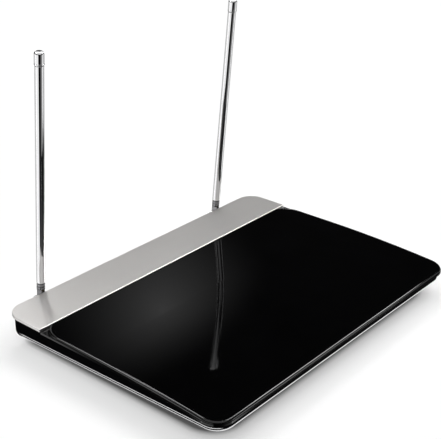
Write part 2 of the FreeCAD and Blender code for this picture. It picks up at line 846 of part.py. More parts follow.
def all_pieces():
    """Every piece by name, in the body's own frame with the origin under the outline's middle."""
    pieces = {
        "bottom_cover": bottom_cover(),
        "top_panel": top_panel(),
        "rear_plate": rear_plate(),
        "cover_screws": cover_screws(),
        "matching_board": matching_board(),
        "board_screws": board_screws(),
        "balun_core": balun_core(),
        "coax_socket": coax_socket(),
        "coax_insulator": coax_insulator(),
        "coax_contact": coax_contact(),
        "coax_washer": coax_washer(),
        "coax_nut": coax_nut(),
    }
    for row, side, x, y in foot_places():
        pieces[f"foot_pad_{row}_{side}"] = foot_pad(x, y)
    rod_pieces = {
        "rod_foot": rod_foot(),
        "outer_tube": tube(0),
        "second_tube": tube(1),
        "third_tube": tube(2),
        "tip_rod": tip_rod(),
        "tip_cap": tip_cap(),
    }
    for side, sign in sides:
        x = sign * rod_x
        pieces[f"uhf_wing_{side}"] = uhf_wing(sign)
        pieces[f"swivel_bush_{side}"] = swivel_bush(x)
        pieces[f"solder_tag_{side}"] = solder_tag(sign)
        pieces[f"feed_lead_{side}"] = feed_lead(sign)
        pieces[f"swivel_barrel_{side}"] = swivel_barrel(x)
        pieces[f"spring_washer_{side}"] = spring_washer(x)
        pieces[f"swivel_nut_{side}"] = swivel_nut(x)
        pieces[f"hinge_pin_{side}"] = hinge_pin(x)
        for name, shape in rod_pieces.items():
            pieces[f"{name}_{side}"] = on_rod(shape, x)
    return pieces


def main():
    """Centre the whole aerial over the origin, standing on its feet, and write one file per piece."""
    pieces = all_pieces()
    bounds = Part.makeCompound(list(pieces.values())).optimalBoundingBox(True, False)
    shift = V(-(bounds.XMin + bounds.XMax) / 2, -(bounds.YMin + bounds.YMax) / 2, -bounds.ZMin)
    os.makedirs("parts", exist_ok=True)
    for name, shape in pieces.items():
        shape.translate(shift)
        shape.exportStep(f"parts/{name}.step")
    print("box", bounds.XLength, bounds.YLength, bounds.ZLength)
    print("shift", shift)
    print("tilt axis at", V(rod_x, pivot_y, pivot_height) + shift)


main()
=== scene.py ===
import math

import bpy
import numpy as np
from bpy.props import FloatProperty, FloatVectorProperty, PointerProperty
from mathutils import Matrix, Vector


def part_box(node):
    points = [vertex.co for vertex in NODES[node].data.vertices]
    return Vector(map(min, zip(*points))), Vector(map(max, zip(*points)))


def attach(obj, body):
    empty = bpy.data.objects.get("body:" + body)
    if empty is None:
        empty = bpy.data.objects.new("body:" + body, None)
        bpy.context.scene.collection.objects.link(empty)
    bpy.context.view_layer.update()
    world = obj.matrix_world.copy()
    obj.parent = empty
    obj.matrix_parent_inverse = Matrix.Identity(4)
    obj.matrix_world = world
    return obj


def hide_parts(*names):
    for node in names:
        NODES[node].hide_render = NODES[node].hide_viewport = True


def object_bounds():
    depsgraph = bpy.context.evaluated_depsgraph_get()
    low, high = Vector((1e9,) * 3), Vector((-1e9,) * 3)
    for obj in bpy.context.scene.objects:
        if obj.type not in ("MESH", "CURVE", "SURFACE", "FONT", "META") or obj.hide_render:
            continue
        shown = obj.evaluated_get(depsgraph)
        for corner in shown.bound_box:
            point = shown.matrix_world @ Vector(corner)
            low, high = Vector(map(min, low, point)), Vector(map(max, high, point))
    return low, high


bl_info = {
    "name": "Indoor aerial looks",
    "version": (1, 0, 0),
    "blender": (4, 5, 0),
    "location": "3D View > Sidebar > Aerial",
    "description": "Finishes, turned rods and studio for an indoor aerial with two telescopic rods",
    "category": "Object",
}

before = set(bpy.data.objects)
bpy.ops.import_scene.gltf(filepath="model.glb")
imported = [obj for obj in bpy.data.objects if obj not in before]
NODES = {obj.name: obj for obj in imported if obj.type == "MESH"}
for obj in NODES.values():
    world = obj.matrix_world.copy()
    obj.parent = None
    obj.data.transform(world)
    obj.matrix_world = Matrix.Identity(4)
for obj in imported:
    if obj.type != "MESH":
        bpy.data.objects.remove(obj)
CAD_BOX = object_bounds()
SIDES = (("left", -1.0), ("right", 1.0))
MM = 0.001
WHITE = (1.0, 1.0, 1.0)
BLACK = (0.0, 0.0, 0.0)
NOISE_DETAIL = 2.0

# Meshes: crease angle, sides round each piece, steps of a corner, rings in a thread's turn and in the nut
CREASE = math.radians(32.0)
TURNED_SIDES, THREAD_SIDES, NUT_SIDES = 48, 64, 144
CORNER_STEPS, THREAD_STEPS, NUT_RINGS = 6, 12, 31
# Width below which an end ring is a pole, and the least length that is divided by
POLE_WIDTH, LEAST_LENGTH = 1e-9, 1e-12

# Turned profiles, in millimetres: rounds of corners, then steps of the tubes' ends and of the caps
SEAT_ROUND, FOOT_ROUND, FLARE_ROUND, ROLLED_ROUND, LIP_ROUND = 0.05, 0.1, 0.15, 0.3, 0.08
CAP_ROUND, GROOVE_ROUND, DOME_ROUND, RING_ROUND = 0.2, 0.06, 0.6, 0.12
FLARE_TAPER, LIP_LAND, LIP_END = 0.2, 0.8, 1.0
GROOVE_DEPTH, GROOVE_START, GROOVE_END = 0.3, 0.8, 1.3
DOME_HEIGHT, DOME_INSET = 1.1, 1.0
# Ring grooves of the feet, as shares of the foot's radius
RING_PLACES = (0.3, 0.62)

# Painted highlights on the cover's lower edge, silver metal bands laid where reflections fall on the black
# edge: (share of the span above the underside, brightness), ends first
EDGE_SPAN = 0.0036
FRONT_HIGHLIGHT = ((0.0, 1.0), (1.0, 0.0), (0.4, 1.0), (0.42, 0.0))
SIDE_HIGHLIGHTS = (
    (0.0, 1.0),
    (1.0, 0.0),
    (0.3, 1.0),
    (0.32, 0.0),
    (0.54, 0.0),
    (0.56, 0.8),
    (0.68, 0.8),
    (0.7, 0.0),
)
# Limits of the painted highlight lines: sideways part of the normal where the front line gives way to the
# side lines, distance in from the outline, upward part of the normal, and depth at which the lines fade out
LINE_TURN = (0.5, 0.7)
LINE_INSET = (0.0018, 0.0014)
LINE_FACING = (-0.98, -0.9)
LINE_REAR = (0.069, 0.073)
# Grain of the cover's underside: upward part of the normal, strength, depth in metres and marks per metre
GRAIN_FACING = (-0.97, -0.995)
GRAIN_STRENGTH, GRAIN_DEPTH, GRAIN_SCALE = 0.35, 0.00008, 1500.0

# Screens that metal mirrors below the horizon: (share of a turn from -180 degrees, brightness), ends first
SCREENS = (
    (0.0, 0.17),
    (1.0, 0.17),
    (0.0394, 0.05),
    (0.0894, 0.0),
    (0.1644, 0.0),
    (0.1839, 1.0),
    (0.332, 1.0),
    (0.338, 2.0),
    (0.36, 2.0),
    (0.366, 0.04),
    (0.386, 0.04),
    (0.392, 1.0),
    (0.4256, 1.0),
    (0.4589, 0.5),
    (0.6367, 0.45),
    (0.6783, 0.6),
    (0.7811, 0.66),
    (0.815, 0.58),
    (0.822, 0.04),
    (0.856, 0.04),
    (0.861, 2.0),
    (0.885, 2.0),
    (0.892, 0.5),
    (0.97, 0.3),
)

# Floor: half its width, the apron's width, gloss, and its darkest area: how far in from the CAD box it ends
# and the round of its corners
FLOOR_REACH = 6.0
APRON = 0.01
FLOOR_ROUGHNESS, FLOOR_SPECULAR = 0.6, 0.1
UNDER = 0.0098
FLOOR_ROUND = 0.018
# Lift to white, and painted shade as the share of the floor's own colour kept, darker near the aerial, by the
# share of the span beyond that area, ends first
FLOOR_SPAN = 0.08
FLOOR_LIFT = (
    (0.0, 0.05),
    (1.0, 0.97),
    (0.009, 0.12),
    (0.026, 0.25),
    (0.044, 0.37),
    (0.06, 0.47),
    (0.1225, 0.57),
    (0.3, 0.6),
    (0.6, 0.8),
)
FLOOR_SHADE = (
    (0.0, 0.5),
    (1.0, 1.0),
    (0.026, 0.7),
    (0.06, 0.8),
    (0.3, 0.85),
    (0.6, 1.0),
)

# Lamps: azimuth and elevation in degrees, distance, and width and height in metres
KEY = ((228.0, 79.0), 2.3, (4.8, 4.8))
BACK = ((48.0, 36.0), 1.6, (0.5, 0.5))
# Cards at one distance: name, azimuth and elevation, width and height, and the setting of its brightness
CARD_AWAY = 1.5
CARDS = (
    ("left_softbox", (315.0, 17.0), (0.64, 0.8), "left_level"),
    ("left_strip", (332.0, 50.0), (0.55, 0.3), "left_strip_level"),
    ("front_softbox", (130.0, 15.5), (0.5, 0.84), "front_level"),
    ("right_strip", (97.0, 45.0), (0.5, 0.42), "strip_level"),
    ("rear_softbox", (22.5, 31.0), (0.4, 0.6), "rear_level"),
    ("high_softbox", (59.0, 58.0), (1.1, 0.4), "high_level"),
    ("low_rear_card", (58.0, 6.0), (0.9, 0.14), "low_rear_level"),
    ("low_fill", (229.0, 25.5), (1.3, 0.2), "fill_level"),
)
# Glow card: azimuth and elevation from a point on the panel, that point, distance and radius in metres
GLOW_WAY = (45.7, 30.0)
GLOW_FROM = (-0.05, 0.0, 0.02)
GLOW_AWAY, GLOW_RADIUS = 1.6, 0.27
# Camera: place, direction of view, roll about it, sensor width in millimetres and clipping in metres
CAMERA_PLACE = (-0.44943, -0.37024, 0.33704)
CAMERA_LOOK = (0.69249, 0.58492, -0.42228)
CAMERA_ROLL = math.radians(0.2747)
CAMERA_SENSOR = 36.0
CAMERA_CLIP = (0.05, 50.0)


def length(name, description, default):
    """Property for a size in metres, given in millimetres."""
    return FloatProperty(
        name=name, description=description, default=default * MM, min=0.0, unit="LENGTH", precision=5
    )


def share(name, description, default):
    """Property for a value from nought to one."""
    return FloatProperty(
        name=name, description=description, default=default, min=0.0, max=1.0, subtype="FACTOR"
    )


def colour(name, description, default):
    """Property for a linear colour."""
    return FloatVectorProperty(
        name=name, description=description, default=default, size=3, min=0.0, max=1.0, subtype="COLOR"
    )


def brightness(name, description, default):
    """Property for the brightness of a lamp or card, where 1 is white."""
    return FloatProperty(name=name, description=description, default=default, min=0.0)


def wattage(name, description, default):
    """Property for a lamp's power in watts."""
    return FloatProperty(name=name, description=description, default=default, unit="POWER")


class AerialFinishes(bpy.types.PropertyGroup):
    """Colours and gloss of the aerial's surfaces."""

    panel_black: colour("Panel black", "Colour of the gloss top panel", (0.0006, 0.0006, 0.0007))
    panel_roughness: share("Panel roughness", "Roughness of the gloss top panel", 0.042)
    cover_black: colour("Cover black", "Colour of the moulded bottom cover", (0.0035, 0.0035, 0.004))
    cover_roughness: share("Cover roughness", "Roughness of the cover's polished walls", 0.1)
    cover_corner: length("Cover corner", "Radius of the cover's front corners", 10.5)
    underside_rear: length("Underside rear", "Height of the cover's underside at its rear wall", 5.5)
    underside_front: length("Underside front", "Height of the cover's underside at its front wall", 9.0)
    cover_rear: length("Cover rear", "Depth of the cover's rear wall, past which its bosses reach", 76.2)
    cover_specular: share("Cover specular", "Mirror strength of the cover's walls", 0.0)
    # Painted highlight: silver of the metal bands laid on the black lower edge where reflections fall
    edge_highlight_silver: colour("Edge silver", "Colour of the line on the cover's lower edge", (0.92, 0.92, 0.93))
    plate_silver: colour("Plate silver", "Colour of the satin rear plate", (0.775, 0.757, 0.74))
    plate_roughness: share("Plate roughness", "Roughness of the satin rear plate", 0.32)
    rod_chrome: colour("Rod chrome", "Colour of the plated rods", (0.86, 0.86, 0.87))
    rod_roughness: share("Rod roughness", "Roughness of the plated rods", 0.06)
    ferrule_chrome: colour("Ferrule chrome", "Colour of the darker plated ferrules", (0.26, 0.26, 0.27))
    rubber_black: colour("Rubber black", "Colour of the rubber feet", (0.018, 0.018, 0.018))


class RodSizes(bpy.types.PropertyGroup):
    """Sizes of the telescopic rods, measured along each rod from its tilt axis."""

    axis_x: length("Axis from middle", "Distance of each tilt axis from the middle plane", 85.8)
    axis_y: length("Axis depth", "Depth of the tilt axes", 87.56)
    axis_z: length("Axis height", "Height of the tilt axes", 13.0)
    lean: FloatProperty(
        name="Lean",
        description="Forward lean of the rods at rest",
        default=math.radians(5.5),
        subtype="ANGLE",
    )
    ferrule_end: length("Ferrule end", "End of the ferrule, where the tube starts", 13.3)
    tube_radius: length("Tube radius", "Outer radius of the largest tube", 2.85)
    tube_wall: length("Tube wall", "Wall of each tube", 0.35)
    tube_lip: length("Tube lip", "Inward step of each tube's rolled end", 0.2)
    tube_clearance: length("Tube clearance", "Play between nested tubes", 0.05)
    tube_end: length("Tube end", "Common end of the nested tubes", 158.5)
    first_foot: length("First foot", "Start of the second tube inside the first", 18.3)
    stagger: length("Stagger", "Step from one nested start to the next", 1.0)
    flare: length("Flare", "Length of each nested tube's flared foot", 5.0)
    cap_start: length("Cap start", "Lower face of the tip cap", 158.8)
    cap_end: length("Cap end", "Top of the tip cap", 167.0)
    cap_radius: length("Cap radius", "Radius of the tip cap", 3.1)
    cap_socket: length("Cap socket", "Depth of the cap's socket for the tip rod", 5.0)
    cap_bore: length("Cap bore", "Radius of the cap's socket for the tip rod", 1.06)


class SocketSizes(bpy.types.PropertyGroup):
    """Sizes of the threaded coaxial socket and its nut."""

    flange: length("Flange", "Thickness of the inner flange", 2.2)
    relief: length("Relief", "Width of the relief beside the nut", 0.6)
    relief_depth: length("Relief depth", "Depth of the relief beside the nut", 0.5)
    chamfer: length("Chamfer", "Chamfer at the socket's outer end", 0.4)
    thread_radius: length("Thread radius", "Radius over the thread's crests", 4.7625)
    thread_pitch: length("Thread pitch", "Distance from crest to crest", 0.794)
    thread_depth: length("Thread depth", "Height of the thread", 0.42)
    bore_radius: length("Bore radius", "Radius of the bore", 3.3)
    nut_chamfer: length("Nut chamfer", "How far the nut's face circle stands out past its flats", 0.16)


class FootSizes(bpy.types.PropertyGroup):
    """Sizes of the rubber feet."""

    edge: length("Edge", "Round of the lower edge", 0.6)
    ring_depth: length("Ring depth", "Depth of the ring grooves in the tread", 0.35)
    ring_width: length("Ring width", "Width of the ring grooves in the tread", 0.9)


class StudioSettings(bpy.types.PropertyGroup):
    """Light, floor and camera."""

    key_power: wattage("Key power", "Power of the overhead softbox", 58.0)
    back_power: wattage("Back power", "Power of the back light that throws the shadow forward", 16.0)
    left_level: brightness("Left level", "Brightness of the left softbox", 0.6)
    front_level: brightness("Front level", "Brightness of the front softbox", 0.7)
    left_strip_level: brightness("Left strip level", "Brightness of the left strip", 8.0)
    strip_level: brightness("Strip level", "Brightness of the right strip", 11.0)
    rear_level: brightness("Rear level", "Brightness of the rear softbox", 1.2)
    fill_level: brightness("Fill level", "Brightness of the low card behind the camera", 0.35)
    high_level: brightness("High level", "Brightness of the high softbox behind the aerial", 7.5)
    low_rear_level: brightness("Low rear level", "Brightness of the low card that evens the plate", 4.4)
    glow: brightness("Glow", "Brightness of the glow card's middle", 0.4)
    room: brightness("Room", "Brightness of the dark room", 0.01)
    floor_white: colour("Floor white", "Colour of the floor", (0.92, 0.92, 0.92))
    mirrored_lift: share("Mirrored lift", "How far the floor is lifted to white where metal mirrors it", 0.95)
    lens: FloatProperty(
        name="Lens", description="Focal length on a 36 mm sensor", default=83.391, min=1.0, unit="CAMERA"
    )


def node_of(tree, kind, **inputs):
    """New shader node with its input values set by socket name."""
    node = tree.nodes.new(kind)
    for key, value in inputs.items():
        node.inputs[key.replace("_", " ")].default_value = value
    return node


def object_pattern(tree, scale, stretch=(1.0, 1.0, 1.0)):
    """Noise over the object's own coordinates, in marks per metre, drawn out along an axis by stretch."""
    place = tree.nodes.new("ShaderNodeTexCoord")
    mapping = node_of(tree, "ShaderNodeMapping", Scale=stretch)
    tree.links.new(place.outputs["Object"], mapping.inputs["Vector"])
    noise = node_of(tree, "ShaderNodeTexNoise", Scale=scale, Detail=NOISE_DETAIL)
    tree.links.new(mapping.outputs["Vector"], noise.inputs["Vector"])
    return noise.outputs["Fac"]


def ranged(tree, value, low, high, start=0.3, end=0.7):
    """Map a value between start and end, or the middle range of a pattern, onto low to high."""
    node = node_of(tree, "ShaderNodeMapRange", From_Min=start, From_Max=end, To_Min=low, To_Max=high)
    tree.links.new(value, node.inputs["Value"])
    return node.outputs["Result"]


def stepped(tree, value, steps):
    """Grey that runs through steps of (place, grey), of which the first two are the ends."""
    ramp = tree.nodes.new("ShaderNodeValToRGB")
    stops = ramp.color_ramp.elements
    for index, (at, grey) in enumerate(steps):
        stop = stops[index] if index < 2 else stops.new(at)
        stop.position = at
        stop.color = (grey, grey, grey, 1.0)
    tree.links.new(value, ramp.inputs["Fac"])
    return ramp.outputs["Color"]


def blended(tree, value, first, second):
    """Colour between two colours, each a socket or three numbers, by a pattern."""
    node = tree.nodes.new("ShaderNodeMix")
    node.data_type = "RGBA"
    for socket, part in ((node.inputs["A"], first), (node.inputs["B"], second)):
        if isinstance(part, bpy.types.NodeSocket):
            tree.links.new(part, socket)
        else:
            socket.default_value = (*part, 1.0)
    tree.links.new(value, node.inputs["Factor"])
    return node.outputs["Result"]


def bumped(tree, value, strength, distance):
    """Normal from a height pattern, with the height's depth in metres."""
    node = node_of(tree, "ShaderNodeBump", Strength=strength, Distance=distance)
    tree.links.new(value, node.inputs["Height"])
    return node.outputs["Normal"]


def maths(tree, operation, *values):
    """Result of a sum on values, each a socket or a number."""
    node = tree.nodes.new("ShaderNodeMath")
    node.operation = operation
    for socket, value in zip(node.inputs, values):
        if isinstance(value, (int, float)):
            socket.default_value = value
        else:
            tree.links.new(value, socket)
    return node.outputs[0]


def beyond_box(tree, centre, half):
    """Distance of a point from a box, in the object's own frame: the length of |p - centre| past half."""
    value = tree.nodes.new("ShaderNodeTexCoord").outputs["Object"]
    steps = (
        ("SUBTRACT", centre),
        ("ABSOLUTE", None),
        ("SUBTRACT", half),
        ("MAXIMUM", (0.0, 0.0, 0.0)),
        ("LENGTH", None),
    )
    for operation, operand in steps:
        step = tree.nodes.new("ShaderNodeVectorMath")
        step.operation = operation
        tree.links.new(value, step.inputs[0])
        if operand is not None:
            step.inputs[1].default_value = operand
        value = step.outputs["Value" if operation == "LENGTH" else "Vector"]
    return value


def tinted(rgb, factor):
    """A colour made lighter or darker by a factor."""
    return tuple(min(1.0, c * factor) for c in rgb)


def finish(name, rgb, metallic, rough, vary, tone, grain, relief=None):
    """Surface finish: a slow tone pattern in the colour, a finer grain in the roughness, and a relief.

    vary is how far the tone departs from rgb, rough the least and greatest roughness, tone and grain
    the marks per metre with their stretch, and relief the strength and depth of the grain's bumps.
    """
    material = bpy.data.materials.new(name)
    material.use_nodes = True
    tree = material.node_tree
    shader = tree.nodes["Principled BSDF"]
    shader.inputs["Metallic"].default_value = metallic
    tone_value = ranged(tree, object_pattern(tree, *tone), 0.0, 1.0)
    colours = blended(tree, tone_value, tinted(rgb, 1.0 - vary), tinted(rgb, 1.0 + vary))
    tree.links.new(colours, shader.inputs["Base Color"])
    grain_value = object_pattern(tree, *grain)
    tree.links.new(ranged(tree, grain_value, *rough), shader.inputs["Roughness"])
    if relief:
        tree.links.new(bumped(tree, grain_value, *relief), shader.inputs["Normal"])
    return material


def dress(material, *names):
    """Give CAD nodes a finish."""
    for name in names:
        mesh = NODES[name].data
        mesh.materials.clear()
        mesh.materials.append(material)


def sided(*stems):
    """Node names of both sides."""
    return [f"{stem}_{side}" for stem in stems for side, _ in SIDES]


def rounded_profile(points, rounds, closed):
    """Profile whose corners are quadratic curves that start and end a round's length from the corner.

    Returns the points and the unit tangents, both as (count, 2) arrays. Between t = 0 and 1 a corner
    B with curve ends A and C runs along (1 - t)^2 A + 2 t (1 - t) B + t^2 C. An open profile keeps its
    two end points.
    """
    corners = np.asarray(points, float)
    rounds = np.asarray(rounds, float)[:, None]
    before = corners - np.roll(corners, 1, axis=0)
    after = np.roll(corners, -1, axis=0) - corners
    before /= np.maximum(np.linalg.norm(before, axis=1, keepdims=True), LEAST_LENGTH)
    after /= np.maximum(np.linalg.norm(after, axis=1, keepdims=True), LEAST_LENGTH)
    t = np.linspace(0.0, 1.0, CORNER_STEPS)[None, :, None]
    first = (corners - before * rounds)[:, None, :]
    last = (corners + after * rounds)[:, None, :]
    middle = corners[:, None, :]
    curve = (1 - t) ** 2 * first + 2 * t * (1 - t) * middle + t ** 2 * last
    tangent = (1 - t) * before[:, None, :] + t * after[:, None, :]
    if not closed:
        ends = ((corners[:1], after[:1]), (corners[-1:], before[-1:]))
        curve = np.concatenate([ends[0][0], curve[1:-1].reshape(-1, 2), ends[1][0]])
        tangent = np.concatenate([ends[0][1], tangent[1:-1].reshape(-1, 2), ends[1][1]])
    curve = curve.reshape(-1, 2)
    tangent = tangent.reshape(-1, 2)
    size = np.maximum(np.linalg.norm(tangent, axis=1, keepdims=True), LEAST_LENGTH)
    return curve, tangent / size


def woven(grid, wrap_rows):
    """Vertices to keep and faces of a grid of rings.

    Each face joins neighbours on two rings. The rings close on themselves, the row of rings may too,
    and an end ring whose points coincide becomes one pole with triangles round it.
    """
    rows, columns = grid.shape[:2]
    index = np.arange(rows * columns).reshape(rows, columns)
    poles = [not wrap_rows and np.ptp(grid[end], axis=0).max() < POLE_WIDTH for end in (0, -1)]
    for end, pole in zip((0, -1), poles):
        if pole:
            index[end] = index[end, 0]
    kept, index = np.unique(index, return_inverse=True)
    index = index.reshape(rows, columns)
    near = index if wrap_rows else index[:-1]
    far = np.roll(index, -1, axis=0) if wrap_rows else index[1:]
    quads = np.stack((near, np.roll(near, -1, axis=1), np.roll(far, -1, axis=1), far), axis=-1)
    first, last = poles
    faces = quads[int(first):len(quads) - int(last)].reshape(-1, 4).tolist()
    if first:
        faces += quads[0][:, [0, 2, 3]].tolist()
    if last:
        faces += quads[-1][:, [0, 1, 2]].tolist()
    return kept, faces


def ring_object(name, points, material, body, wrap_rows=True, normals=None):
    """Mesh object of a grid of rings, riding on a body, with the given normals or creased at its edges."""
    kept, faces = woven(points, wrap_rows)
    mesh = bpy.data.meshes.new(name)
    mesh.from_pydata(points.reshape(-1, 3)[kept].tolist(), [], faces)
    mesh.materials.append(material)
    mesh.shade_smooth()
    if normals is None:
        mesh.set_sharp_from_angle(angle=CREASE)
    else:
        mesh.normals_split_custom_set_from_vertices(normals.reshape(-1, 3)[kept].tolist())
    mesh.update()
    piece = bpy.data.objects.new(name, mesh)
    bpy.context.scene.collection.objects.link(piece)
    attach(piece, body)
    return piece


def turned_grid(curve, tangent, sides):
    """Points and normals of a profile turned about the third axis.

    A profile point (r, h) at angle a lies at (r cos a, r sin a, h), and its normal is the profile's
    tangent (dr, dh) turned a quarter to (dh, -dr) and carried round.
    """
    angle = np.linspace(0.0, 2 * math.pi, sides, endpoint=False)[None, :]
    radius, height = curve[:, :1], curve[:, 1:]
    out, up = tangent[:, 1:], -tangent[:, :1]
    ones = np.ones_like(angle)
    points = np.stack([radius * np.cos(angle), radius * np.sin(angle), height * ones], axis=-1)
    normals = np.stack([out * np.cos(angle), out * np.sin(angle), up * ones], axis=-1)
    return points, normals


def carried(points, normals, matrix):
    """Points and normals moved by a rigid matrix."""
    turn = np.array(matrix.to_3x3())
    return points @ turn.T + np.array(matrix.translation), normals @ turn.T


def rod_place(sizes, sign):
    """Matrix that stands a rod's own frame on its tilt axis, leaning forward."""
    place = Vector((sign * sizes.axis_x, sizes.axis_y, sizes.axis_z))
    return Matrix.Translation(place) @ Matrix.Rotation(sizes.lean, 4, "X")


def turned_piece(name, profile, place, material, body, closed=True):
    """Turned piece from corners with their rounds, in millimetres, as (radius, height, round) rows."""
    rows = np.asarray(profile, float) * MM
    curve, tangent = rounded_profile(rows[:, :2], rows[:, 2], closed)
    points, normals = carried(*turned_grid(curve, tangent, TURNED_SIDES), place)
    return ring_object(name, points, material, body, closed, normals)


def ring_points(radius, height, place):
    """Points of rings about an axis: ring i, at height[i], has radius[i, j] at angle 2 pi j / count."""
    angle = np.linspace(0.0, 2 * math.pi, radius.shape[1], endpoint=False)[None, :]
    high = height[:, None] * np.ones_like(angle)
    points = np.stack([radius * np.cos(angle), radius * np.sin(angle), high], axis=-1)
    return carried(points, points, place)[0]


def node_axis(name):
    """Matrix that stands a ring's axis along the depth, through the middle of a CAD node."""
    low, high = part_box(name)
    middle = (low + high) / 2
    return Matrix.Translation((middle.x, 0.0, middle.z)) @ Matrix.Rotation(-math.pi / 2, 4, "X")


class AERIAL_OT_body(bpy.types.Operator):
    """Finish the gloss panel, the satin plate and the moulded cover"""

    bl_idname = "aerial.body"
    bl_label = "Finish the body"

    def execute(self, context):
        looks = context.scene.aerial_finishes
        rough = looks.panel_roughness
        panel = finish(
            "panel_black", looks.panel_black, metallic=0.0, rough=(rough * 0.7, rough * 1.3), vary=0.3,
            tone=(30.0,), grain=(60.0,),
        )
        dress(panel, "top_panel")
        rough = looks.plate_roughness
        plate = finish(
            "plate_silver", looks.plate_silver, metallic=0.93, rough=(rough * 0.9, rough * 1.1), vary=0.02,
            tone=(25.0,), grain=(5200.0,), relief=(0.12, 0.00003),
        )
        dress(plate, "rear_plate")
        rough = looks.cover_roughness
        cover = finish(
            "cover_black", looks.cover_black, metallic=0.0, rough=(rough * 0.8, rough * 1.3), vary=0.2,
            tone=(60.0,), grain=(300.0,),
        )
        self.edge_highlights_and_underside(cover.node_tree, looks)
        dress(cover, "bottom_cover")
        return {"FINISHED"}

    def edge_highlights_and_underside(self, tree, looks):
        """Add painted highlights, silver metal bands on the cover's rounded lower edge where reflections
        fall, and a grain on its underside.

        The underside slopes, so a point's height over it is z + slope y less the same at the rear wall.
        """
        shader = tree.nodes["Principled BSDF"]
        shader.inputs["Specular IOR Level"].default_value = looks.cover_specular
        facing = tree.nodes.new("ShaderNodeSeparateXYZ")
        tree.links.new(tree.nodes.new("ShaderNodeNewGeometry").outputs["Normal"], facing.inputs["Vector"])
        place = tree.nodes.new("ShaderNodeTexCoord").outputs["Object"]
        low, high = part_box("bottom_cover")
        front, rear, corner = low.y, looks.cover_rear, looks.cover_corner
        slope = (looks.underside_front - looks.underside_rear) / (rear - front)
        above = tree.nodes.new("ShaderNodeVectorMath")
        above.operation = "DOT_PRODUCT"
        above.inputs[1].default_value = (0.0, slope, 1.0)
        tree.links.new(place, above.inputs[0])
        foot = looks.underside_rear + rear * slope
        height = ranged(tree, above.outputs["Value"], 0.0, 1.0, foot, foot + EDGE_SPAN)
        sideways = ranged(tree, maths(tree, "ABSOLUTE", facing.outputs["X"]), 0.0, 1.0, *LINE_TURN)
        forward = maths(tree, "SUBTRACT", 1.0, sideways)
        # Painted highlight lines: silver bands by height above the underside, one on the front and two on the
        # sides
        front_highlight = maths(tree, "MULTIPLY", stepped(tree, height, FRONT_HIGHLIGHT), forward)
        side_highlights = maths(tree, "MULTIPLY", stepped(tree, height, SIDE_HIGHLIGHTS), sideways)
        edge = maths(tree, "ADD", front_highlight, side_highlights)
        middle = (0.0, (front + rear) / 2, 0.0)
        half = ((high.x - low.x) / 2 - corner, (rear - front) / 2 - corner, 1.0)
        depth = tree.nodes.new("ShaderNodeSeparateXYZ")
        tree.links.new(place, depth.inputs["Vector"])
        limits = (
            ranged(tree, beyond_box(tree, middle, half), 0.0, 1.0, *(corner - inset for inset in LINE_INSET)),
            ranged(tree, facing.outputs["Z"], 0.0, 1.0, *LINE_FACING),
            ranged(tree, depth.outputs["Y"], 1.0, 0.0, *LINE_REAR),
        )
        for limit in limits:
            edge = maths(tree, "MULTIPLY", edge, limit)
        black = shader.inputs["Base Color"].links[0].from_socket
        # Painted highlight: the silver bands are mixed into the black and made metallic, so they also mirror
        # what is round them
        tree.links.new(blended(tree, edge, black, looks.edge_highlight_silver), shader.inputs["Base Color"])
        tree.links.new(edge, shader.inputs["Metallic"])
        grain = node_of(tree, "ShaderNodeBump", Distance=GRAIN_DEPTH)
        tree.links.new(object_pattern(tree, GRAIN_SCALE), grain.inputs["Height"])
        under = ranged(tree, facing.outputs["Z"], 0.0, GRAIN_STRENGTH, *GRAIN_FACING)
        tree.links.new(under, grain.inputs["Strength"])
        tree.links.new(grain.outputs["Normal"], shader.inputs["Normal"])


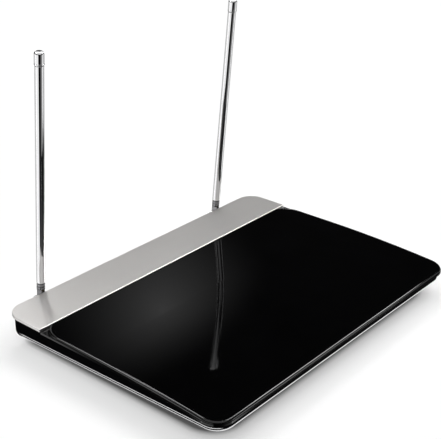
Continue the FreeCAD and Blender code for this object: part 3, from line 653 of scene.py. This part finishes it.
class AERIAL_OT_rods(bpy.types.Operator):
    """Turn the nested tubes, tip rods and caps of both telescopic rods and finish their ferrules"""

    bl_idname = "aerial.rods"
    bl_label = "Turn the telescopic rods"

    def execute(self, context):
        looks = context.scene.aerial_finishes
        rough = looks.rod_roughness
        chrome = finish(
            "rod_chrome", looks.rod_chrome, metallic=1.0, rough=(rough * 0.6, rough * 1.4), vary=0.03,
            tone=(60.0,), grain=(3000.0, (1.0, 1.0, 0.02)),
        )
        ferrule = finish(
            "ferrule_chrome", looks.ferrule_chrome, metallic=1.0, rough=(0.1, 0.2), vary=0.06,
            tone=(400.0,), grain=(2500.0, (0.1, 0.1, 1.0)),
        )
        sizes = context.scene.aerial_rods
        for side, sign in SIDES:
            place = rod_place(sizes, sign)
            self.stages(sizes, side, place, chrome)
            self.cap(sizes, side, place, chrome)
            dress(ferrule, f"rod_foot_{side}")
        return {"FINISHED"}

    def stages(self, sizes, side, place, chrome):
        """Outer tube, two nested tubes with flared feet and rolled ends, and the tip rod.

        Each is a profile turned about the rod. A tube's bore is its radius less the wall, and its neck is
        the bore less the lip. The next stage's foot is the bore less the play, and its radius the neck
        less the play.
        """
        names = ("outer_tube", "second_tube", "third_tube")
        bodies = ("rod", "second", "third")
        outer = sizes.tube_radius / MM
        wall, lip, play = sizes.tube_wall / MM, sizes.tube_lip / MM, sizes.tube_clearance / MM
        end = sizes.tube_end / MM
        start = sizes.ferrule_end / MM
        foot = outer
        for index, (name, body) in enumerate(zip(names, bodies)):
            bore = outer - wall
            neck = bore - lip
            profile = [(bore, start, SEAT_ROUND), (foot, start, FOOT_ROUND)]
            if index:
                profile += self.flare(sizes, start, foot, outer)
            profile += [(outer, end, ROLLED_ROUND), (neck, end, LIP_ROUND)]
            profile += [(neck, end - LIP_LAND, SEAT_ROUND), (bore, end - LIP_END, SEAT_ROUND)]
            piece = turned_piece(
                f"{name}_chrome_{side}", profile, place, chrome, f"{side}_{body}"
            )
            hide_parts(f"{name}_{side}")
            foot = bore - play
            outer = neck - play
            start = (sizes.first_foot + index * sizes.stagger) / MM
        top = (sizes.cap_start + sizes.cap_socket) / MM
        profile = [(0.0, start, 0.0), (foot, start, FOOT_ROUND), *self.flare(sizes, start, foot, outer)]
        profile += [(outer, top, FOOT_ROUND), (0.0, top, 0.0)]
        piece = turned_piece(
            f"tip_rod_chrome_{side}", profile, place, chrome, f"{side}_tip", closed=False
        )
        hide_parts(f"tip_rod_{side}")

    def flare(self, sizes, start, foot, outer):
        """Corners where a flared foot runs out into the stage's own radius."""
        flare_end = start + sizes.flare / MM
        return [(foot, flare_end, FLARE_ROUND), (outer, flare_end + FLARE_TAPER, FOOT_ROUND)]

    def cap(self, sizes, side, place, chrome):
        """Tip cap with a ring groove near its lower edge and a domed top.

        Its profile, turned about the rod, runs from the socket's floor down the bore, up the outside past
        the square groove, and in along a rounded slope to the top.
        """
        low, high, radius = sizes.cap_start / MM, sizes.cap_end / MM, sizes.cap_radius / MM
        bore, floor = sizes.cap_bore / MM, low + sizes.cap_socket / MM
        groove, groove_low, groove_high = radius - GROOVE_DEPTH, low + GROOVE_START, low + GROOVE_END
        profile = [(0.0, floor, 0.0), (bore, floor, SEAT_ROUND), (bore, low, FOOT_ROUND)]
        profile += [(radius, low, CAP_ROUND), (radius, groove_low, FOOT_ROUND)]
        profile += [(groove, groove_low, GROOVE_ROUND), (groove, groove_high, GROOVE_ROUND)]
        profile += [(radius, groove_high, FOOT_ROUND), (radius, high - DOME_HEIGHT, DOME_ROUND)]
        profile += [(radius - DOME_INSET, high, DOME_ROUND), (0.0, high, 0.0)]
        piece = turned_piece(
            f"tip_cap_chrome_{side}", profile, place, chrome, f"{side}_tip", closed=False
        )
        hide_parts(f"tip_cap_{side}")


class AERIAL_OT_knuckles(bpy.types.Operator):
    """Finish the swivel knuckles and what holds them"""

    bl_idname = "aerial.knuckles"
    bl_label = "Finish the knuckles"

    def execute(self, context):
        looks = context.scene.aerial_finishes
        plated = finish(
            "knuckle_chrome", tinted(looks.rod_chrome, 0.9), metallic=1.0, rough=(0.1, 0.22), vary=0.05,
            tone=(300.0,), grain=(2600.0, (0.15, 1.0, 0.15)), relief=(0.15, 0.00002),
        )
        brass = finish(
            "bush_brass", (0.62, 0.47, 0.2), metallic=1.0, rough=(0.2, 0.38), vary=0.1,
            tone=(250.0,), grain=(2600.0, (0.15, 1.0, 0.15)), relief=(0.2, 0.00002),
        )
        steel = finish(
            "screw_steel", (0.42, 0.42, 0.43), metallic=1.0, rough=(0.28, 0.45), vary=0.12,
            tone=(500.0,), grain=(2200.0,), relief=(0.2, 0.00002),
        )
        dress(plated, *sided("swivel_barrel"))
        dress(brass, *sided("swivel_bush"))
        dress(steel, *sided("spring_washer", "swivel_nut", "hinge_pin"), "cover_screws", "board_screws")
        return {"FINISHED"}


class AERIAL_OT_socket(bpy.types.Operator):
    """Cut the coaxial socket's thread and finish the socket"""

    bl_idname = "aerial.socket"
    bl_label = "Thread the coaxial socket"

    def execute(self, context):
        nickel = finish(
            "socket_nickel", (0.66, 0.64, 0.59), metallic=1.0, rough=(0.16, 0.3), vary=0.06,
            tone=(300.0,), grain=(2200.0, (1, 0.1, 1)), relief=(0.1, 0.00002),
        )
        brass = finish(
            "contact_brass", (0.72, 0.52, 0.2), metallic=1.0, rough=(0.2, 0.35), vary=0.08,
            tone=(400.0,), grain=(2500.0,),
        )
        white = finish(
            "insulator_white", (0.78, 0.78, 0.74), metallic=0.0, rough=(0.4, 0.55), vary=0.03,
            tone=(200.0,), grain=(1800.0,), relief=(0.2, 0.00003),
        )
        dress(nickel, "coax_washer")
        dress(brass, "coax_contact")
        dress(white, "coax_insulator")
        sizes = context.scene.aerial_socket
        self.threaded_body(sizes, nickel)
        self.nut(sizes, nickel)
        return {"FINISHED"}

    def threaded_body(self, sizes, nickel):
        """Socket body whose outer end is cut by a thread.

        Between the relief and the chamfer the radius is the crest's less the thread's depth times
        1 - |2 f - 1|, where f is the fraction of (depth / pitch - angle / 2 pi). The cut fades in and
        out over one pitch.
        """
        low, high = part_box("coax_socket")
        _, nut_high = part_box("coax_nut")
        crest, bore = sizes.thread_radius, sizes.bore_radius
        wall = low.y + sizes.flange
        relief_end = nut_high.y + sizes.relief
        neck = crest - sizes.relief_depth
        turns = (high.y - sizes.chamfer - relief_end) / sizes.thread_pitch
        along = np.linspace(relief_end, high.y - sizes.chamfer, 1 + THREAD_STEPS * round(turns))
        angle = np.linspace(0.0, 1.0, THREAD_SIDES, endpoint=False)[None, :]
        fraction = (along[:, None] / sizes.thread_pitch - angle) % 1.0
        fade = np.clip(np.minimum(along - along[0], along[-1] - along) / sizes.thread_pitch, 0.0, 1.0)
        cut = sizes.thread_depth * (1.0 - np.abs(2.0 * fraction - 1.0)) * fade[:, None]
        flange = (high.x - low.x) / 2
        before = [(bore, low.y), (flange, low.y), (flange, wall), (crest, wall), (crest, nut_high.y)]
        before += [(neck, nut_high.y), (neck, relief_end)]
        after = [(crest - sizes.chamfer, high.y), (bore, high.y)]
        plain = np.ones((1, THREAD_SIDES))
        radius = np.concatenate(
            [np.array(before)[:, :1] * plain, crest - cut, np.array(after)[:, :1] * plain]
        )
        height = np.concatenate([np.array(before)[:, 1], along, np.array(after)[:, 1]])
        points = ring_points(radius, height, node_axis("coax_socket"))
        piece = ring_object("socket_thread", points, nickel, "base")
        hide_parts("coax_socket")

    def nut(self, sizes, nickel):
        """Hexagonal nut with turned chamfers.

        At angle a the radius is flat / cos(a), with a wrapped to 30 degrees either side of each flat's
        middle, and never more than the face circle plus root 3 times the depth below the nearer face.
        """
        low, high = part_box("coax_nut")
        flat = (high.z - low.z) / 2
        angle = np.linspace(0.0, 2 * math.pi, NUT_SIDES, endpoint=False)[None, :]
        wrapped = angle % (math.pi / 3) - math.pi / 6
        rising = (1.0 - np.cos(np.linspace(0.0, math.pi, NUT_RINGS))) / 2
        height = low.y + (high.y - low.y) * rising
        below_face = np.minimum(height - low.y, high.y - height)[:, None]
        circle = flat + sizes.nut_chamfer + math.sqrt(3.0) * below_face
        outer = np.minimum(flat / np.cos(wrapped), circle)
        bore = np.full((1, angle.size), sizes.thread_radius)
        radius = np.concatenate([bore, outer, bore])
        height = np.concatenate([[low.y], height, [high.y]])
        points = ring_points(radius, height, node_axis("coax_nut"))
        piece = ring_object("socket_nut", points, nickel, "base")
        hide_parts("coax_nut")


class AERIAL_OT_feet(bpy.types.Operator):
    """Turn the rubber feet with their ringed treads"""

    bl_idname = "aerial.feet"
    bl_label = "Turn the feet"

    def execute(self, context):
        looks = context.scene.aerial_finishes
        rubber = finish(
            "foot_rubber", looks.rubber_black, metallic=0.0, rough=(0.6, 0.85), vary=0.25,
            tone=(300.0,), grain=(2600.0,), relief=(0.4, 0.00006),
        )
        for row in ("front", "rear"):
            for side, _ in SIDES:
                self.foot(context.scene.aerial_feet, f"foot_pad_{row}_{side}", rubber)
        return {"FINISHED"}

    def foot(self, sizes, node, rubber):
        """Round pad with a soft lower edge and two ring grooves in its tread.

        Its profile is turned about the upright axis. Each groove narrows from its full width at the tread
        to half of it at its depth.
        """
        low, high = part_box(node)
        middle = (low + high) / 2
        radius, top = (high.x - low.x) / 2 / MM, (high.z - low.z) / MM
        deep, wide, edge = sizes.ring_depth / MM, sizes.ring_width / MM, sizes.edge / MM
        profile = [(0.0, 0.0, 0.0)]
        for groove in (at * radius for at in RING_PLACES):
            profile += [(groove - wide / 2, 0.0, RING_ROUND), (groove - wide / 4, deep, RING_ROUND)]
            profile += [(groove + wide / 4, deep, RING_ROUND), (groove + wide / 2, 0.0, RING_ROUND)]
        profile += [(radius, 0.0, edge), (radius, top, FOOT_ROUND), (0.0, top, 0.0)]
        place = Matrix.Translation((middle.x, middle.y, low.z))
        piece = turned_piece(f"{node}_tread", profile, place, rubber, "base", closed=False)
        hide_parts(node)


class AERIAL_OT_inside(bpy.types.Operator):
    """Finish the board, the flat dipole and the feed leads inside the body"""

    bl_idname = "aerial.inside"
    bl_label = "Finish the inside"

    def execute(self, context):
        tin = finish(
            "sheet_tin", (0.6, 0.61, 0.62), metallic=1.0, rough=(0.25, 0.4), vary=0.06,
            tone=(150.0,), grain=(1200.0, (0.05, 1, 1)),
        )
        green = finish(
            "board_green", (0.02, 0.12, 0.05), metallic=0.0, rough=(0.3, 0.45), vary=0.15,
            tone=(120.0,), grain=(900.0,),
        )
        ferrite = finish(
            "ferrite_grey", (0.05, 0.05, 0.055), metallic=0.0, rough=(0.6, 0.8), vary=0.2,
            tone=(500.0,), grain=(2600.0,), relief=(0.3, 0.00005),
        )
        grey = finish(
            "lead_grey", (0.1, 0.1, 0.1), metallic=0.0, rough=(0.4, 0.55), vary=0.1,
            tone=(200.0,), grain=(1500.0,),
        )
        dress(tin, *sided("uhf_wing", "solder_tag"))
        dress(green, "matching_board")
        dress(ferrite, "balun_core")
        dress(grey, *sided("feed_lead"))
        return {"FINISHED"}


class AERIAL_OT_studio(bpy.types.Operator):
    """Lay the floor and set the lights and the camera"""

    bl_idname = "aerial.studio"
    bl_label = "Set the studio"

    def execute(self, context):
        settings = context.scene.aerial_studio
        self.floor(settings)
        self.world(context.scene, settings)
        self.lamp("key_softbox", *KEY, settings.key_power)
        self.lamp("back_light", *BACK, settings.back_power).visible_glossy = False
        for name, way, size, level in CARDS:
            self.card(name, way, size, getattr(settings, level))
        self.glow(settings)
        self.camera(context.scene, settings)
        context.scene.view_settings.view_transform = "Standard"
        return {"FINISHED"}

    def sheet(self, name, corners, faces, material):
        """Flat stage sheet of corners on the floor's plane."""
        mesh = bpy.data.meshes.new(name)
        mesh.from_pydata([(x, y, 0.0) for x, y in corners], [], faces)
        mesh.materials.append(material)
        sheet = bpy.data.objects.new(name, mesh)
        bpy.context.scene.collection.objects.link(sheet)
        return sheet

    def floor(self, settings):
        """Pale floor that keeps the shadow and is lifted towards white where it is seen.

        Mirrors see only an apron of it round the aerial. Its lift and its painted shade, the floor's colour
        darkened near the aerial, follow the distance from the aerial's plan, a box with rounded corners.
        """
        material = bpy.data.materials.new("floor_white")
        material.use_nodes = True
        tree = material.node_tree
        shader = tree.nodes["Principled BSDF"]
        shader.inputs["Roughness"].default_value = FLOOR_ROUGHNESS
        shader.inputs["Specular IOR Level"].default_value = FLOOR_SPECULAR
        light = node_of(tree, "ShaderNodeEmission", Strength=1.0)
        path = tree.nodes.new("ShaderNodeLightPath")
        half = [(far - near) / 2 - UNDER - FLOOR_ROUND for near, far in zip(*CAD_BOX)]
        away = beyond_box(tree, (0.0, 0.0, 0.0), half)
        span = ranged(tree, away, 0.0, 1.0, FLOOR_ROUND, FLOOR_ROUND + FLOOR_SPAN)
        # Painted shade: the floor's colour darkened towards the aerial, added to the real shadow
        painted_shade = blended(tree, stepped(tree, span, FLOOR_SHADE), BLACK, settings.floor_white)
        tree.links.new(painted_shade, shader.inputs["Base Color"])
        lift = maths(tree, "MULTIPLY", path.outputs["Is Camera Ray"], stepped(tree, span, FLOOR_LIFT))
        for ray in ("Is Glossy Ray", "Is Transmission Ray"):
            mirrored = maths(tree, "MULTIPLY", path.outputs[ray], settings.mirrored_lift)
            lift = maths(tree, "MAXIMUM", lift, mirrored)
        mix = tree.nodes.new("ShaderNodeMixShader")
        tree.links.new(lift, mix.inputs["Fac"])
        tree.links.new(shader.outputs["BSDF"], mix.inputs[1])
        tree.links.new(light.outputs["Emission"], mix.inputs[2])
        tree.links.new(mix.outputs["Shader"], tree.nodes["Material Output"].inputs["Surface"])
        low, high = CAD_BOX
        inner = [(low[0] - APRON, low[1] - APRON), (high[0] + APRON, low[1] - APRON)]
        inner += [(high[0] + APRON, high[1]), (low[0] - APRON, high[1])]
        outer = [(x * FLOOR_REACH, y * FLOOR_REACH) for x, y in ((-1, -1), (1, -1), (1, 1), (-1, 1))]
        around = [[k, (k + 1) % 4, (k + 1) % 4 + 4, k + 4] for k in range(4)]
        self.sheet("floor", outer + inner, around, material).visible_glossy = False
        self.sheet("floor_apron", inner, [[0, 1, 2, 3]], material)

    def world(self, scene, settings):
        """Room that the camera sees white, and mirrors see dark above and with screens below the horizon."""
        world = bpy.data.worlds.new("studio_room")
        world.use_nodes = True
        tree = world.node_tree
        place = tree.nodes.new("ShaderNodeTexCoord")
        axes = tree.nodes.new("ShaderNodeSeparateXYZ")
        tree.links.new(place.outputs["Generated"], axes.inputs["Vector"])
        bearing = maths(tree, "ARCTAN2", axes.outputs["X"], axes.outputs["Y"])
        screens = stepped(tree, ranged(tree, bearing, 0.0, 1.0, -math.pi, math.pi), SCREENS)
        below = maths(tree, "LESS_THAN", axes.outputs["Z"], 0.0)
        room = blended(tree, below, (settings.room, settings.room, settings.room), screens)
        path = tree.nodes.new("ShaderNodeLightPath")
        seen = blended(tree, path.outputs["Is Camera Ray"], room, WHITE)
        tree.links.new(seen, tree.nodes["Background"].inputs["Color"])
        scene.world = world

    def bearing(self, way):
        """Unit direction of an azimuth from +Y towards +X and an elevation, in degrees."""
        azimuth, elevation = (math.radians(value) for value in way)
        level = math.cos(elevation)
        return Vector((math.sin(azimuth) * level, math.cos(azimuth) * level, math.sin(elevation)))

    def lamp(self, name, way, away, size, power):
        """Oblong softbox that faces the aerial from a bearing."""
        light = bpy.data.lights.new(name, "AREA")
        light.shape = "RECTANGLE"
        light.size, light.size_y = size
        light.energy = power
        lamp = bpy.data.objects.new(name, light)
        lamp.location = self.bearing(way) * away
        lamp.rotation_euler = (-self.bearing(way)).to_track_quat("-Z", "Y").to_euler()
        bpy.context.scene.collection.objects.link(lamp)
        return lamp

    def card(self, name, way, size, level):
        """Softbox of a given brightness: its power is brightness times pi times its area."""
        return self.lamp(name, way, CARD_AWAY, size, level * math.pi * size[0] * size[1])

    def glow(self, settings):
        """Card behind the aerial, bright in the middle and fading to its rim, that the panel mirrors."""
        material = bpy.data.materials.new("glow_card")
        material.use_nodes = True
        tree = material.node_tree
        tree.nodes.remove(tree.nodes["Principled BSDF"])
        place = tree.nodes.new("ShaderNodeTexCoord")
        fade = tree.nodes.new("ShaderNodeTexGradient")
        fade.gradient_type = "QUADRATIC_SPHERE"
        tree.links.new(place.outputs["Object"], fade.inputs["Vector"])
        light = tree.nodes.new("ShaderNodeEmission")
        strength = maths(tree, "MULTIPLY_ADD", fade.outputs["Fac"], settings.glow, settings.room)
        tree.links.new(strength, light.inputs["Strength"])
        tree.links.new(light.outputs["Emission"], tree.nodes["Material Output"].inputs["Surface"])
        corners = [(-1.0, -1.0), (1.0, -1.0), (1.0, 1.0), (-1.0, 1.0)]
        card = self.sheet("glow_card", corners, [[0, 1, 2, 3]], material)
        way = self.bearing(GLOW_WAY)
        card.location = Vector(GLOW_FROM) + way * GLOW_AWAY
        card.rotation_euler = (-way).to_track_quat("Z", "Y").to_euler()
        card.scale = (GLOW_RADIUS, GLOW_RADIUS, GLOW_RADIUS)
        card.visible_camera = False

    def camera(self, scene, settings):
        """Camera at the photograph's viewing angle."""
        data = bpy.data.cameras.new("camera")
        data.lens = settings.lens
        data.sensor_width = CAMERA_SENSOR
        data.clip_start, data.clip_end = CAMERA_CLIP
        camera = bpy.data.objects.new("camera", data)
        camera.location = CAMERA_PLACE
        look = Vector(CAMERA_LOOK).to_track_quat("-Z", "Y").to_matrix()
        camera.rotation_euler = (look @ Matrix.Rotation(CAMERA_ROLL, 3, "Z")).to_euler()
        scene.collection.objects.link(camera)
        scene.camera = camera


OPERATORS = (
    AERIAL_OT_body,
    AERIAL_OT_rods,
    AERIAL_OT_knuckles,
    AERIAL_OT_socket,
    AERIAL_OT_feet,
    AERIAL_OT_inside,
    AERIAL_OT_studio,
)
SETTINGS = (
    ("aerial_finishes", AerialFinishes),
    ("aerial_rods", RodSizes),
    ("aerial_socket", SocketSizes),
    ("aerial_feet", FootSizes),
    ("aerial_studio", StudioSettings),
)


class AERIAL_PT_sidebar(bpy.types.Panel):
    """Sidebar list of the aerial's operators and settings"""

    bl_idname = "AERIAL_PT_sidebar"
    bl_label = "Aerial"
    bl_space_type = "VIEW_3D"
    bl_region_type = "UI"
    bl_category = "Aerial"

    def draw(self, context):
        for operator in OPERATORS:
            self.layout.operator(operator.bl_idname)
        for name, group in SETTINGS:
            box = self.layout.box()
            box.label(text=group.__name__)
            for key in group.__annotations__:
                box.prop(getattr(context.scene, name), key)


def register():
    for name, group in SETTINGS:
        bpy.utils.register_class(group)
        setattr(bpy.types.Scene, name, PointerProperty(type=group))
    for operator in OPERATORS:
        bpy.utils.register_class(operator)
    bpy.utils.register_class(AERIAL_PT_sidebar)


def unregister():
    bpy.utils.unregister_class(AERIAL_PT_sidebar)
    for operator in reversed(OPERATORS):
        bpy.utils.unregister_class(operator)
    for name, group in reversed(SETTINGS):
        delattr(bpy.types.Scene, name)
        bpy.utils.unregister_class(group)


def main():
    register()
    bpy.ops.aerial.body()
    bpy.ops.aerial.rods()
    bpy.ops.aerial.knuckles()
    bpy.ops.aerial.socket()
    bpy.ops.aerial.feet()
    bpy.ops.aerial.inside()
    bpy.ops.aerial.studio()


if __name__ == "__main__":
    main()
